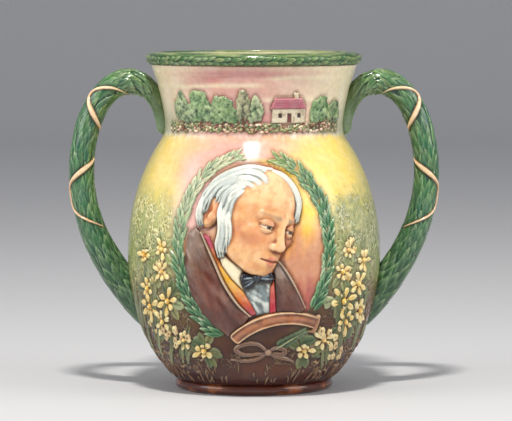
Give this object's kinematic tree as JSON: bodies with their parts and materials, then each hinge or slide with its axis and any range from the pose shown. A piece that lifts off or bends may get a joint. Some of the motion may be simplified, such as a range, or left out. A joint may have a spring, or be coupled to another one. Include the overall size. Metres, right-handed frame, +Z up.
{
  "type": "two-handled loving cup",
  "caption": "Glazed earthenware loving cup with a round belly, flared neck, looped side handles and applied laurel, portrait, scroll and flower relief; holds a drink or stands on display.",
  "frame": {"origin": "centre of the foot ring's underside, on the table", "axes": "+Z up along the cup's axis, +X towards the right handle, -Y towards the portrait side"},
  "size_m": [0.183, 0.1304, 0.165],
  "materials": {
    "body_glaze": "glossy hand-painted glaze, yellow and rose over cream, brown towards the foot",
    "foot_glaze": "glossy brown glaze",
    "rim_glaze": "glossy light green glaze, darker in the hollows",
    "laurel_glaze": "glossy green glaze, pale on the ribs",
    "handle_glaze": "glossy deep green glaze",
    "ribbon_glaze": "glossy peach cream glaze",
    "skin_glaze": "glossy warm flesh glaze",
    "hair_glaze": "glossy white glaze with grey-blue washes",
    "coat_glaze": "glossy dark brown glaze",
    "lapel_glaze": "glossy red and gold glaze",
    "shirt_glaze": "glossy white glaze with grey washes",
    "tie_glaze": "glossy blue-black glaze",
    "petal_glaze": "glossy pale yellow glaze",
    "foliage_glaze": "glossy olive green glaze",
    "tree_glaze": "glossy mottled green glaze",
    "cottage_glaze": "glossy cream and rose glaze"
  },
  "bodies": {
    "root": {"cup_body": "body_glaze", "foot_ring": "foot_glaze", "rim_roll": "rim_glaze", "rim_laurel": "rim_glaze", "left_handle": "handle_glaze", "right_handle": "handle_glaze", "left_handle_leaves": "handle_glaze", "right_handle_leaves": "handle_glaze", "left_handle_ribbon": "ribbon_glaze", "right_handle_ribbon": "ribbon_glaze", "wreath_left_branch": "laurel_glaze", "wreath_right_branch": "laurel_glaze", "portrait_head": "skin_glaze", "portrait_hair": "hair_glaze", "portrait_coat": "coat_glaze", "portrait_lapels": "lapel_glaze", "portrait_shirt": "shirt_glaze", "portrait_bow_tie": "tie_glaze", "scroll_banner": "ribbon_glaze", "scroll_tie": "ribbon_glaze", "scroll_leaf": "laurel_glaze", "left_flowers": "petal_glaze", "left_foliage": "foliage_glaze", "right_flowers": "petal_glaze", "right_foliage": "foliage_glaze", "back_flowers": "petal_glaze", "back_foliage": "foliage_glaze", "neck_trees": "tree_glaze", "neck_cottage": "cottage_glaze", "neck_hedge": "foliage_glaze", "foot_grass": "foliage_glaze"}
  },
  "joints": []
}
